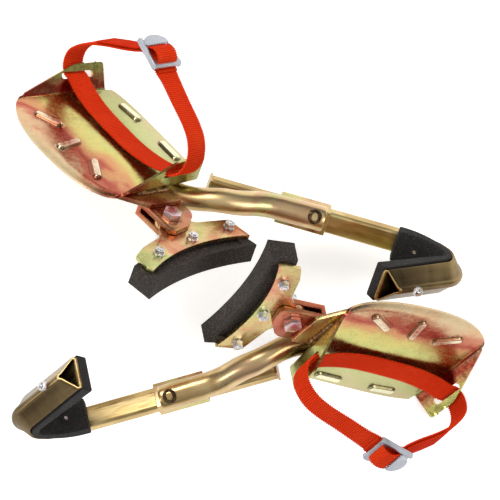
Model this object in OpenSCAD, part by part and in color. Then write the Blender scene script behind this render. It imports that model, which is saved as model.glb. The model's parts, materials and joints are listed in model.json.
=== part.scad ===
// Pair of pole climbers for round poles: two identical units, left and right.
// Each unit is drawn in its own frame: the origin is on the pad pivot's axis at the level
// of the foot plate's top face, x runs across the plate towards the arm, y runs along the
// flanges towards the heel edge, and z is square to the plate. stand_left() and
// stand_right() then lay the two units down side by side.

/* [Foot plate] */
// Width of the plate between the flanges, across the toe side
plate_w_toe = 153; // [150:1:156]
// Width of the plate between the flanges, across the heel side
plate_w_heel = 138; // [136:1:140]
// Thickness of the pressed steel sheet
sheet_t = 2.6; // [2.5:0.1:3]
// Height of the inner flange, beside the arm
flange_h = 25; // [23:1:27]
// Height of the outer flange, along its slope
outer_flange_h = 23; // [22:1:27]
// Outward lean of the outer flange from upright
outer_flare = 35; // [25:1:40]
// Length of each strap slot
slot_l = 34; // [33:1:36]

/* [Arm] */
// Outer diameter of the arm tube
tube_d = 22; // [20:1:22]
// Wall of the arm tube
tube_wall = 2.5; // [2:0.1:3]
// Distance from the tube's centreline plane down to the plate
arm_drop = 14.5; // [14.5:0.5:16]

/* [Hook] */
// Height of the hook bar, across the pole's length
bar_h = 21; // [20:0.5:22]
// Thickness of the hook bar
bar_t = 11; // [10:0.5:12]
// Wall of the hook bar
bar_wall = 2; // [1.6:0.1:2.2]
// Width of the triangular hook's base
hook_base = 32.6; // [30:0.5:34]
// Depth of the triangular hook from base to ridge
hook_depth = 15; // [14:0.5:16]
// Thickness of the hook's rubber lining
lining_t = 10; // [8:0.5:11]

/* [Pad] */
// Radius of the pad's gripping face
pad_r = 300; // [250:10:400]
// Length of the pad's rubber block
pad_l = 138.5; // [134:0.5:146]
// Thickness of the pad bracket and of the slot that it turns in
bracket_t = 4; // [3.5:0.1:4]

/* [Strap] */
// Width of the webbing
strap_w = 24; // [22:1:28]
// Thickness of the webbing
strap_t = 2; // [1.8:0.1:2.2]

/* [Hidden] */
$fn = 48;
PARTS = ["foot_plate", "clevis_gusset", "arm_tube", "slide_sleeve", "plate_welds", "clevis",
    "pivot_bolt", "pivot_nut", "pad_bracket", "pad_rubber", "pad_bolts", "pad_nuts",
    "hook_bar", "tail_stop", "hook_lining", "hook_bolts", "hook_nuts", "strap_webbing",
    "buckle_frame", "buckle_tongue"];

zinc = "goldenrod";
steel = "lightsteelblue";
rubber = "dimgray";
orange = "orangered";

// Foot plate: the middle between the flanges, and the y of the flanges' two ends
plate_x = -106.5;
toe_y = -38;
heel_y = 56;
toe_reach = 31;
outer_toe_round = 1.45;
heel_bulge = 8;
flange_l = heel_y - toe_y;
splay = atan((plate_w_toe - plate_w_heel) / 2 / flange_l);
flange_edge = flange_l / cos(splay);
flange_foot = 0.8 - sheet_t;
flange_lap = 0.6;
taper_l = 61;
flange_end = flange_edge - 3.2;
slot_h = 6;
slot_up = 13.5;
slot_y = 24.5;
strap_y = 25.5;
strap_under_y = 21.5;
slot_s = (slot_y - toe_y) / cos(splay);
bead_r = 2.9;
// Stamped beads: middle x and y, turn, and length between the end centres
beads = [[-145, -33, 31, 19], [-108, -38, 98, 20], [-70, -36, -29, 21],
    [-137, 54, 5, 18], [-79, 55, -1, 20]];

// Arm tube: start, heading and the lengths and turns that follow
arm_z = -arm_drop;
tube_r = tube_d / 2;
tube_start = [-65.7, 25.9, arm_z - 2.5];
tube_heading = 28.4;
tube_climb = 12.5;
tube_climb_from = 25;
tube_climb_l = 50;
tube_rise = 1.1;
tube_run_in = 41;
tube_bend_r = 62;
tube_turn_out = 49;
tube_turn_back = 26.6;
tube_run_out = 40;
tube_sides = 24;

// Slide: the bar's axis through the sleeve, in plan
slide_at = [12.4, 140.6, arm_z + 0.5];
slide_turn = 50.8;
sleeve_from = -20;
sleeve_l = 45;
sleeve_wall = 1.7;
sleeve_lip = 1.2;
slide_gap = 0.3;
tail_from = -82.6;
weld_step = 3.6;
seam_y = -8.8;
seam_z = 8;

// Hook path: straight bar, gentle knee, short leg, tight bend, long leg
knee_x = 89;
knee_r = 60;
knee_turn = 33;
leg_1 = 8;
bend_r = 12;
bend_turn = 109;
leg_2 = 70;
end_slant = 15;
lining_w = hook_base + 2.4;
lining_from = 86;
lining_bend_t = 6.8;
lining_thins_over = 7;
lining_start_w = bar_h + 5;
lining_taper_l = 26;

// Clevis and pad
clevis_t = 5;
clevis_gap = bracket_t + 0.6;
clevis_top = arm_z + clevis_gap / 2 + clevis_t;
pivot_r = 6;
pivot_fit = 0.05;
head_h = 6.4;
head_flats = 15;
clevis_back = -29;
pad_turn = 12.1;
pad_mid_y = -12.8;
pad_mid_x = 48;
pad_depth = 26;
pad_h = 18;
pad_bolt_at = [[30, -50], [27.3, 0], [30, 48]];
bracket_edge_r = 200;
small_r = 2.5;
touch = 0.02;

// Strap route in the x-z plane, from the outer slot over the foot to the inner slot
strap_over = [[-190, 12.5], [-195, 21], [-194, 33], [-185, 45], [-172, 55], [-154, 65.5],
    [-134, 76], [-117, 84], [-104, 90], [-92, 87], [-78, 78], [-60, 68.5], [-42, 60], [-29, 50],
    [-22.5, 36], [-24, 22], [-31, 13.8]];
strap_under = [[-31, 13.8], [-42, 12], [-60, 7.5], [-85, 4.2], [-115, 3.6], [-145, 4.5],
    [-168, 8], [-181, 11.5], [-190, 12.5]];
tail_run = [[-109, 87.6], [-119, 85.6], [-134, 78.8], [-152, 69.3], [-168, 60.2]];

function spow(v, p) = sign(v) * pow(abs(v), p);
function unit(a) = [cos(a), sin(a)];

// Catmull-Rom curve through points, n steps a span
function span(p, i, t) = let (a = p[max(i - 1, 0)], b = p[i], c = p[i + 1],
    d = p[min(i + 2, len(p) - 1)])
    0.5 * (2 * b + (c - a) * t + (2 * a - 5 * b + 4 * c - d) * t * t
        + (3 * b - a - 3 * c + d) * t * t * t);
function smooth(p, n) = [for (i = [0 : len(p) - 2]) for (k = [0 : n - 1]) span(p, i, k / n),
    p[len(p) - 1]];
function side_of(p, i) = let (d = p[min(i + 1, len(p) - 1)] - p[max(i - 1, 0)])
    [-d[1], d[0]] / norm(d);
function band(p, lo, hi) = concat([for (i = [0 : len(p) - 1]) p[i] + lo * side_of(p, i)],
    [for (i = [len(p) - 1 : -1 : 0]) p[i] + hi * side_of(p, i)]);

// Hook path as [x, y, heading]; the line is the bar's pole-side face
function turn_right(s, r, a, n) = let (c = [s[0], s[1]] + r * unit(s[2] - 90))
    [for (k = [1 : n]) let (h = s[2] - a * k / n, q = c + r * unit(h + 90)) [q[0], q[1], h]];
function turn_left(s, r, a, n) = let (c = [s[0], s[1]] + r * unit(s[2] + 90))
    [for (k = [1 : n]) let (h = s[2] + a * k / n, q = c + r * unit(h - 90)) [q[0], q[1], h]];
function ahead(s, l) = [s[0] + l * cos(s[2]), s[1] + l * sin(s[2]), s[2]];
function last(p) = p[len(p) - 1];
face_y = -bar_t / 2;
straight = [[tail_from, face_y, 0], [knee_x, face_y, 0]];
knee = turn_right(last(straight), knee_r, knee_turn, 6);
leg_1_end = ahead(last(knee), leg_1);
bend = turn_right(leg_1_end, bend_r, bend_turn, 12);
hook_end = ahead(last(bend), leg_2);
hook_path = concat(straight, knee, [leg_1_end], bend, [hook_end]);
knee_last = len(straight) + len(knee) - 1;

// Arm tube's path, from its start, before it is turned to its heading
tube_bend_out = turn_left([tube_run_in, 0, 0], tube_bend_r, tube_turn_out, 7);
tube_bend_back = turn_right(last(tube_bend_out), tube_bend_r, tube_turn_back, 5);
tube_path = concat([for (k = [0 : 4]) [tube_run_in * k / 4, 0, 0]], tube_bend_out, tube_bend_back,
    [for (k = [1 : 3]) ahead(last(tube_bend_back), tube_run_out * k / 3)]);
// Height at a point of the path: the tube climbs past the plate's edge, then runs nearly level
function length_to(i) = i == 0 ? 0 : length_to(i - 1)
    + norm([tube_path[i][0] - tube_path[i - 1][0], tube_path[i][1] - tube_path[i - 1][1]]);
function tube_z(l) = tube_climb * (1 - cos(180 * min(max((l - tube_climb_from) / tube_climb_l, 0), 1))) / 2
    + tan(tube_rise) * max(l - tube_climb_from - tube_climb_l, 0);

// One ring of the bar's section: a flat box that becomes a triangle as m goes from 0 to 1
function mix(a, b, m) = a + (b - a) * m;
function corner(n, z, r, from) = [for (k = [0 : 3])
    [n + r * cos(from - 30 * k), z + r * sin(from - 30 * k)]];
function ring(m, inset) = let (
    r = 3 - inset, half = mix(bar_h, hook_base, m) / 2 - 3, deep = mix(bar_t, hook_depth, m) - 3,
    top = mix(bar_h / 2 - 3, 0.6, m))
    concat(corner(3, half, r, 180), corner(deep, top, r, 90),
        corner(deep, -top, r, 0), corner(3, -half, r, -90));
function place_ring(s, pts, slant) = [for (q = pts)
    let (c = [s[0], s[1]] + q[0] * unit(s[2] + 90) - slant * q[0] / hook_depth * unit(s[2]))
    [c[0], c[1], q[1]]];
function morph(i) = i < 2 ? 0 : min((i - 1) / (knee_last - 1), 1);
function skin(inset) = [for (i = [0 : len(hook_path) - 1])
    each place_ring(hook_path[i], ring(morph(i), inset), i == len(hook_path) - 1 ? end_slant : 0)];

// A tube with open ends, from rings of points: all the outer rings, then all the inner ones
module hollow_loft(outer, inner, per) {
    rings = len(outer) / per;
    first_in = len(outer);
    end = (rings - 1) * per;
    polyhedron(concat(outer, inner), concat(
        [for (i = [0 : rings - 2]) for (k = [0 : per - 1]) let (
            a = i * per + k, b = i * per + (k + 1) % per, c = a + first_in, d = b + first_in)
            each [[a, b, a + per], [b, b + per, a + per], [c, c + per, d], [d, c + per, d + per]]],
        [for (k = [0 : per - 1]) let (j = (k + 1) % per, c = k + first_in, d = j + first_in)
            each [[k, c, j], [j, c, d], [end + k, end + j, end + c], [end + j, end + d, end + c]]]));
}

// Places
module stand_left() {
    translate(left_at) lay_down(left_lean) children();
}
module stand_right() {
    translate(right_at) rotate([0, 0, -148.6]) lay_down(left_lean) children();
}
module lay_down(lean) {
    rotate([0, 0, -20]) rotate([-lean, 0, 0]) rotate([0, 0, -42.4]) children();
}
left_lean = 60;
left_at = [-65.15, 37.85, 140.5];
right_at = [38.85, -64.95, 140.5];

module on_slide() {
    translate(slide_at) rotate([0, 0, slide_turn]) children();
}
module on_pad() {
    rotate([0, 0, pad_turn]) children();
}
module across(y, w) {
    translate([0, y + w / 2, 0]) rotate([90, 0, 0]) linear_extrude(w) children();
}
module rod(l, r) {
    rotate([0, 90, 0]) cylinder(h = l, r = r);
}

// Foot plate
module plate_outline() {
    toe = [for (a = [180 : 10 : 360]) [plate_x + plate_w_toe / 2 * spow(cos(a), 0.85),
        toe_y + 2 + toe_reach * spow(sin(a), a < 270 ? outer_toe_round : 0.9)]];
    heel = [for (a = [0 : 15 : 180]) [plate_x + plate_w_heel / 2 * spow(cos(a), 0.6),
        heel_y + heel_bulge * spow(sin(a), 0.8)]];
    polygon(concat(toe, heel));
}
module flange(s, h) {
    difference() {
        rotate([90, 0, 0]) linear_extrude(sheet_t)
            polygon([[1, flange_foot], [1, 1], [taper_l, h], [flange_end - 3, h],
                [flange_end, h - 3], [flange_end, flange_foot]]);
        translate([s, 1, slot_up]) rotate([90, 0, 0]) slot_cut(sheet_t + 2);
    }
}
module slot_cut(deep) {
    reach = (slot_l - slot_h) / 2;
    translate([-reach, -slot_h / 2, 0]) cube([2 * reach, slot_h, deep]);
    for (x = [-reach, reach]) translate([x, 0, 0]) cylinder(h = deep, d = slot_h);
}
module bead(b) {
    translate([b[0], b[1], 0]) rotate([0, 0, b[2]]) {
        translate([-b[3] / 2, 0, 0]) rod(b[3], bead_r);
        for (x = [-b[3] / 2, b[3] / 2]) translate([x, 0, 0]) sphere(bead_r);
    }
}
module foot_plate() {
    color(zinc) {
        translate([0, 0, -sheet_t]) linear_extrude(sheet_t) plate_outline();
        translate([plate_x + plate_w_toe / 2 - flange_lap, toe_y, 0]) rotate([0, 0, 90 + splay])
            mirror([0, 1, 0]) translate([0, sheet_t, 0]) flange(slot_s, flange_h);
        translate([plate_x - plate_w_toe / 2 - flange_lap, toe_y, 0]) rotate([0, 0, 90 - splay])
            rotate([-outer_flare, 0, 0]) flange(slot_s, outer_flange_h);
        for (b = beads) bead(b);
    }
}

// Gusset under the plate, which carries the clevis
module clevis_gusset() {
    color(zinc) translate([0, 0, clevis_top]) linear_extrude(-sheet_t - clevis_top)
        polygon([[-78, -40], [-38, -40], [-15, -14], [-15, 22], [-44, 22], [-58, 8], [-78, 0]]);
}

// Arm tube: straight out from under the plate, round an S bend, then along the slide
function tube_ring(s, z, r) = [for (k = [0 : tube_sides - 1]) let (a = 360 * k / tube_sides)
    [s[0] - r * sin(a) * sin(s[2]), s[1] + r * sin(a) * cos(s[2]), z + r * cos(a)]];
function tube_skin(r) = [for (i = [0 : len(tube_path) - 1])
    each tube_ring(tube_path[i], tube_z(length_to(i)), r)];
module arm_tube() {
    color(zinc) translate(tube_start)
        rotate([0, 0, tube_heading])
            hollow_loft(tube_skin(tube_r), tube_skin(tube_r - tube_wall), tube_sides);
}

// Sleeve that the hook bar slides in
module slide_sleeve() {
    inner_h = bar_h + 2 * slide_gap;
    inner_t = bar_t + 2 * slide_gap;
    color(zinc) on_slide() translate([sleeve_from, 0, 0]) difference() {
        translate([0, -inner_t / 2 - sleeve_wall, -inner_h / 2 - sleeve_lip])
            cube([sleeve_l, inner_t + 2 * sleeve_wall, inner_h + 2 * sleeve_lip]);
        translate([-1, -inner_t / 2, -inner_h / 2]) cube([sleeve_l + 2, inner_t, inner_h]);
    }
}

// Weld beads: along the inner flange's foot, between the plate and the tube, and beside the sleeve
module plate_welds() {
    color("saddlebrown") {
        for (k = [0 : 9]) translate([-33 + 0.6 * (k % 2), -14 + weld_step * k, -2.6]) weld_ball(3.1);
        translate([tube_start[0], tube_start[1], (tube_start[2] + tube_r - sheet_t) / 2])
            rotate([0, 0, tube_heading])
                for (k = [0 : 6]) translate([4 + weld_step * k, 0, 0]) weld_ball(2.8);
        on_slide() for (k = [0 : 9]) translate([-16 + weld_step * k, seam_y, seam_z]) weld_ball(2.6);
    }
}
module weld_ball(r) {
    sphere(r = r, $fn = 24);
}

// Clevis: one plate folded round the pad bracket
module clevis_plan() {
    polygon([[clevis_back, -14], [17, -13], [19.5, -8], [15, 9], [3, 22], [-3, 25], [-20, 25],
        [clevis_back, 8]]);
}
module clevis() {
    color(zinc) difference() {
        translate([0, 0, clevis_top - 2 * clevis_t - clevis_gap])
            linear_extrude(2 * clevis_t + clevis_gap - touch) clevis_plan();
        translate([clevis_back + clevis_t, -30, arm_z - clevis_gap / 2]) cube([60, 70, clevis_gap]);
        translate([0, 0, arm_z - 20]) cylinder(h = 40, r = pivot_r + pivot_fit);
    }
}
module hexagon(flats, h) {
    cylinder(h = h, d = flats / cos(30), $fn = 6);
}
module pivot_bolt() {
    color(steel) {
        translate([0, 0, clevis_top]) rotate([0, 0, 12]) hexagon(head_flats, head_h);
        translate([0, 0, clevis_top - 2 * clevis_t - clevis_gap - 12])
            cylinder(h = 2 * clevis_t + clevis_gap + 12 + touch, r = pivot_r);
    }
}
module pivot_nut() {
    color(steel) translate([0, 0, clevis_top - 2 * clevis_t - clevis_gap - 9.5]) difference() {
        hexagon(head_flats, 9.4);
        translate([0, 0, -1]) cylinder(h = 12, r = pivot_r + pivot_fit);
    }
}

// Pad bracket, which turns on the pivot bolt
module bracket_plan() {
    difference() {
        union() {
            circle(13);
            polygon([[0, -13], [12, -28], [17, -57], [23, -73], [40, -78], [60, -70], [60, 58],
                [42, 58], [21, 57.5], [11.5, 25], [0, 13]]);
        }
        translate([35 + bracket_edge_r, -10]) circle(bracket_edge_r, $fn = 180);
    }
}
module pad_bracket() {
    color(zinc) on_pad() difference() {
        translate([0, 0, arm_z - bracket_t / 2]) linear_extrude(bracket_t) bracket_plan();
        translate([0, 0, arm_z - 10]) cylinder(h = 20, r = pivot_r + pivot_fit);
        for (p = pad_bolt_at) translate([p[0], p[1], arm_z - 10]) cylinder(h = 20, r = small_r + 0.05);
    }
}
pad_top = arm_z - bracket_t / 2 - touch;
module pad_block() {
    translate([pad_mid_x, pad_mid_y]) intersection() {
        translate([pad_r, 0]) difference() {
            circle(pad_r + pad_depth, $fn = 240);
            circle(pad_r, $fn = 240);
        }
        polygon([[-40, -pad_l / 2 + 14], [-18, -pad_l / 2], [40, -pad_l / 2 - 4],
            [40, pad_l / 2 + 4], [-18, pad_l / 2], [-40, pad_l / 2 - 14]]);
    }
}
module pad_rubber() {
    color(rubber) on_pad() difference() {
        translate([0, 0, pad_top - pad_h]) linear_extrude(pad_h) pad_block();
        translate([pad_mid_x, pad_mid_y, pad_top - 2]) linear_extrude(4) intersection() {
            translate([pad_r, 0]) difference() {
                circle(pad_r + 14, $fn = 240);
                circle(pad_r + 4, $fn = 240);
            }
            translate([-40, -pad_l / 2 + 10]) square([80, pad_l - 20]);
        }
        for (p = pad_bolt_at) translate([p[0], p[1], pad_top - 30]) cylinder(h = 40, r = small_r + 0.05);
    }
}
module pad_bolts() {
    color(steel) on_pad() for (p = pad_bolt_at) translate([p[0], p[1], 0]) {
        translate([0, 0, pad_top - pad_h - 3.5]) cylinder(h = 3.5 - touch, d = 9);
        translate([0, 0, pad_top - pad_h - 1]) cylinder(h = pad_h + bracket_t + 7, r = small_r);
    }
}
module pad_nuts() {
    color(steel) on_pad() for (p = pad_bolt_at)
        translate([p[0], p[1], arm_z + bracket_t / 2 + touch]) difference() {
            union() {
                cylinder(h = 1, d = 10);
                translate([0, 0, 1]) hexagon(8, 4);
            }
            translate([0, 0, -1]) cylinder(h = 8, r = small_r + 0.05);
        }
}

// Hook bar: box section in the sleeve, pressed to a triangle round the hook
module hook_bar() {
    color(zinc) on_slide() difference() {
        hollow_loft(skin(0), skin(bar_wall), 16);
        for (x = hook_bolt_x) hook_bolt_place(x) translate([0, 0, -20])
            cylinder(h = 40, r = small_r + 0.05);
    }
}
// Bolts stand on the long leg, at these distances back from its end
hook_bolt_x = [32];
module hook_bolt_place(x) {
    s = ahead(hook_end, -x);
    translate([s[0], s[1], 0]) rotate([0, 0, s[2]]) rotate([-90, 0, 0]) children();
}
// The lining is thinner where it is bent: full at its two ends, thinnest along the bend
function lining_depth(i, n) = i == 0 || i == n - 1 ? lining_t
    : mix(lining_t, lining_bend_t, min(i / lining_thins_over, 1));
module hook_lining() {
    route = [for (s = concat([ahead(straight[0], lining_from - tail_from)], [straight[1]], knee,
        [leg_1_end], bend, [hook_end])) [s[0], s[1]]];
    color(rubber) on_slide() difference() {
        translate([0, 0, -lining_w / 2]) linear_extrude(lining_w) polygon(concat(
            [for (i = [0 : len(route) - 1]) route[i] - touch * side_of(route, i)],
            [for (i = [len(route) - 1 : -1 : 0])
                route[i] - lining_depth(i, len(route)) * side_of(route, i)]));
        translate([0, face_y + 1, 0]) rotate([90, 0, 0]) linear_extrude(lining_t + 8)
            polygon([[lining_from - 1, -lining_start_w / 2],
                [lining_from + lining_taper_l, -lining_w / 2 - 1], [lining_from - 1, -lining_w / 2 - 1]]);
        for (x = hook_bolt_x) hook_bolt_place(x) {
            translate([0, 0, -30]) cylinder(h = 60, r = small_r + 0.05);
            translate([0, 0, -30]) cylinder(h = 32 - lining_t + touch, d = 9.1);
        }
    }
}
module hook_bolts() {
    color(steel) on_slide() for (x = hook_bolt_x) hook_bolt_place(x) {
        translate([0, 0, -lining_t + 2]) cylinder(h = hook_depth + lining_t + 4, r = small_r);
        translate([0, 0, -lining_t - 1]) cylinder(h = 3, d = 9);
    }
}
module hook_nuts() {
    color(steel) on_slide() for (x = hook_bolt_x) hook_bolt_place(x)
        translate([0, 0, hook_depth + touch]) difference() {
            hexagon(8, 4);
            translate([0, 0, -1]) cylinder(h = 8, r = small_r + 0.05);
        }
}
// Stop plate that closes the bar's tail, so that it can't leave the sleeve
module tail_stop() {
    color(zinc) on_slide() translate([tail_from - 2 - touch, -bar_t / 2 - 1.5, -bar_h / 2 - 1.5])
        cube([2, bar_t + 3, bar_h + 1.5]);
}

// Webbing and buckle
module strap_webbing() {
    color(orange) {
        across(strap_y, strap_w) {
            polygon(band(smooth(strap_over, 3), -strap_t / 2, strap_t / 2));
            polygon(band(smooth(tail_run, 3), -strap_t / 2 + 0.2, strap_t / 2 - 0.2));
        }
        across(strap_under_y, strap_w)
            polygon(band(smooth(strap_under, 3), -strap_t / 2, strap_t / 2));
    }
}
buckle_at = [-104, 90];
buckle_dip = 20;
buckle_l = 32;
module on_buckle() {
    translate([buckle_at[0], strap_y, buckle_at[1]]) rotate([0, buckle_dip, 0]) children();
}
module buckle_frame() {
    rail = 3;
    half = strap_w / 2 + 1.2;
    color(steel) on_buckle() {
        for (y = [-half - rail, half]) translate([-buckle_l / 2, y, -3.5]) cube([buckle_l, rail, 7]);
        for (x = [-buckle_l / 2, buckle_l / 2 - 3])
            translate([x, -half - 1, -3.6]) cube([3, 2 * half + 2, 1.8]);
    }
}
module buckle_tongue() {
    half = strap_w / 2 + 0.8;
    tooth_pitch = (2 * half - 3.8) / 7;
    color(steel) on_buckle() translate([-4, 0, 6.2]) rotate([0, -12, 0]) {
        translate([-12, -half, 0]) cube([20, 2 * half, 2]);
        for (k = [0 : 7]) translate([7.5, -half + 1 + tooth_pitch * k, 0]) cube([2.5, 1.8, 2]);
    }
}

module unit_part(name) {
    if (name == "foot_plate") foot_plate();
    if (name == "clevis_gusset") clevis_gusset();
    if (name == "arm_tube") arm_tube();
    if (name == "slide_sleeve") slide_sleeve();
    if (name == "plate_welds") plate_welds();
    if (name == "clevis") clevis();
    if (name == "pivot_bolt") pivot_bolt();
    if (name == "pivot_nut") pivot_nut();
    if (name == "pad_bracket") pad_bracket();
    if (name == "pad_rubber") pad_rubber();
    if (name == "pad_bolts") pad_bolts();
    if (name == "pad_nuts") pad_nuts();
    if (name == "hook_bar") hook_bar();
    if (name == "tail_stop") tail_stop();
    if (name == "hook_lining") hook_lining();
    if (name == "hook_bolts") hook_bolts();
    if (name == "hook_nuts") hook_nuts();
    if (name == "strap_webbing") strap_webbing();
    if (name == "buckle_frame") buckle_frame();
    if (name == "buckle_tongue") buckle_tongue();
}

for (p = PARTS) {
    stand_left() unit_part(p);
    stand_right() unit_part(p);
}
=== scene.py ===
"""Looks for a pair of pole climbers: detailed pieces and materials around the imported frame.

Each unit has its own frame, as in the CAD: the origin is on the pad pivot's axis at the level
of the foot plate's top face, x runs across the plate towards the arm, y runs along the flanges
towards the heel, and z is square to the plate. Sizes in that frame are in millimetres.
"""

import json
from math import atan, cos, degrees, hypot, pi, radians, sin, tan

import bmesh
import bpy
from mathutils import Matrix, Quaternion, Vector, noise
from mathutils.geometry import delaunay_2d_cdt


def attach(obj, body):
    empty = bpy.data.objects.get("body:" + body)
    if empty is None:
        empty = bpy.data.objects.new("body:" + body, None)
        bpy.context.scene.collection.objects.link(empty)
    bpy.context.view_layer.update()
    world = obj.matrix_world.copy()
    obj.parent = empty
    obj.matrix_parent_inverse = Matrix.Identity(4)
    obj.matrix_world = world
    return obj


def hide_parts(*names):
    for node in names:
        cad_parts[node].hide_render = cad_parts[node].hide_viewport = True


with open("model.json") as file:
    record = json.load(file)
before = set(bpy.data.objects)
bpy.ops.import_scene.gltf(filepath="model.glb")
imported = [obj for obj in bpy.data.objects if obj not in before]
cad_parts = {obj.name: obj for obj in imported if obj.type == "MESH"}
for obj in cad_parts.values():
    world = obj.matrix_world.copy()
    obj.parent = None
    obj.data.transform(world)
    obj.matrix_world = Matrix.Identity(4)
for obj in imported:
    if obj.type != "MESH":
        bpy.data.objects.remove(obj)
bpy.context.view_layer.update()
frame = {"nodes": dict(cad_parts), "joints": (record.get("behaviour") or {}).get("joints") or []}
NODES = frame["nodes"]
JOINTS = {j["name"]: j for j in frame["joints"]}
SIDES = ("left", "right")
MM = 0.001

# ---- The CAD's driving sizes, in millimetres and degrees ----
PLATE_W_TOE, PLATE_W_HEEL, SHEET_T = 153, 138, 2.6
PLATE_X, TOE_Y, HEEL_Y, TOE_REACH, HEEL_BULGE = -106.5, -38, 56, 31, 8
INNER_TOE_ROUND, OUTER_TOE_ROUND = 0.9, 1.45
TOE_END, HEEL_END = TOE_Y - TOE_REACH, HEEL_Y + HEEL_BULGE
FLANGE_L = HEEL_Y - TOE_Y
SPLAY = degrees(atan((PLATE_W_TOE - PLATE_W_HEEL) / 2 / FLANGE_L))
FLANGE_EDGE = FLANGE_L / cos(radians(SPLAY))
FLANGE_H, OUTER_FLANGE_H, FLANGE_LAP, TAPER_L = 25, 23, 0.6, 61
FLANGE_END = FLANGE_EDGE - 3.2
OUTER_LEAN = 35
SLOT_L, SLOT_H, SLOT_UP, SLOT_Y = 34, 6, 13.5, 24.5
SLOT_AT = (SLOT_Y - TOE_Y) / cos(radians(SPLAY))
# Stamped beads: middle x and y, turn, and length between the end centres
BEADS = [(-145, -33, 31, 19), (-108, -38, 98, 20), (-70, -36, -29, 21), (-137, 54, 5, 18), (-79, 55, -1, 20)]

ARM_Z = -14.5
TUBE_R, TUBE_WALL = 11, 2.5
TUBE_START = (-65.7, 25.9, ARM_Z - 2.5)
TUBE_HEADING, TUBE_RISE, TUBE_RUN_IN, TUBE_BEND_R = 28.4, 1.1, 41, 62
TUBE_CLIMB, TUBE_CLIMB_FROM, TUBE_CLIMB_L = 12.5, 25, 50
TUBE_TURN_OUT, TUBE_TURN_BACK, TUBE_RUN_OUT = 49, 26.6, 40

SLIDE_AT, SLIDE_TURN = (12.4, 140.6, ARM_Z + 0.5), 50.8
BAR_H, BAR_T, BAR_WALL, BAR_R, RIDGE_HALF = 21, 11, 2, 3, 0.6
SEAM_Y, SEAM_Z = -8.8, 8
TAIL_FROM, KNEE_X, KNEE_R, KNEE_TURN = -82.6, 89, 60, 33
LEG_1, BEND_R, BEND_TURN, LEG_2, END_SLANT = 8, 12, 109, 70, 15
HOOK_BASE, HOOK_DEPTH = 32.6, 15
LINING_T, LINING_BEND_T, LINING_W, LINING_FROM = 10, 6.8, HOOK_BASE + 2.4, 86
LINING_START_W, LINING_TAPER_L = BAR_H + 5, 26
LINING_SCREW_AT = (104, -16.1, 2.5)

STRAP_W, STRAP_T = 24, 2
TAIL_W, TAIL_T = STRAP_W - 1, STRAP_T - 0.2
RIB, TWILL_W, YARN_W, SCALLOP = 1.9, 1.15, 0.58, 0.7
BUCKLE_AT, BUCKLE_DIP, BUCKLE_L = (-104, 26.5, 91.5), 20, 33
RAIL_T, LOWER_BAR_W, CAM_X, CAM_R, CAM_TILT, TOOTH_L, TEETH = 2.2, 7.8, -7, 10.5, -8, 1.3, 9
# The webbing's route: x, y, z and twist, over the foot from the outer slot to the buckle,
# through the buckle (in its own frame: along, up), down to the inner slot, and back on the plate
STRAP_UP = [(-190, 25, 12.5, 0), (-195, 25.5, 21, 0), (-194, 26, 33, 0), (-185, 26.5, 45, 0),
            (-172, 26.5, 55, 0), (-154, 26.5, 65.5, 0), (-134, 26.5, 76, 0), (-121, 26.5, 83.3, 0)]
STRAP_BUCKLE = [(-8, -6.6), (-2, -4.2), (6, -3.2), (14, -3.0), (19, -3.2)]
TAIL_BUCKLE = [(19, -0.9), (15, -0.5), (12.8, 2.2), (10.8, 6.2), (6, 8.6), (0.4, 8.0), (-3.4, 5.4),
               (-5.8, 2.0), (-8.4, -1.4), (-11, -5)]
STRAP_DOWN = [(-78, 26.4, 78.3, 5), (-60, 27, 68.8, 7), (-42, 27.8, 60, 8), (-29, 28.2, 50, 8),
              (-22.5, 28, 36, 7), (-24, 26.4, 22, 4), (-31, 23, 13.8, 1)]
STRAP_UNDER = [(-42, 21, 12, 0), (-60, 20, 7.5, 0), (-85, 19.5, 4.2, 0), (-115, 20, 3.6, 0),
               (-145, 21, 4.5, 0), (-168, 22.5, 8, 0), (-181, 24, 11.5, 0)]
STRAP_TAIL = [(-121.5, 26, 86.2, 0), (-134, 26, 79.2, 0), (-152, 26, 69.5, 0), (-168, 26, 60.4, 0)]


# ---- Frames ----
def unit_frame(side):
    """The unit's matrix, from its own two joints."""
    pivot, slide = JOINTS[side + "_pad_pivot"], JOINTS[side + "_hook_slide"]
    z = Vector(pivot["axis"]).normalized()
    x = Quaternion(z, -radians(SLIDE_TURN)) @ Vector(slide["axis"]).normalized()
    m = Matrix((x, z.cross(x), z)).transposed().to_4x4()
    m.translation = pivot["pos_m"]
    return m


UNIT = {side: unit_frame(side) for side in SIDES}
ON_SLIDE = Matrix.Translation(SLIDE_AT) @ Matrix.Rotation(radians(SLIDE_TURN), 4, "Z")


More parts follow.
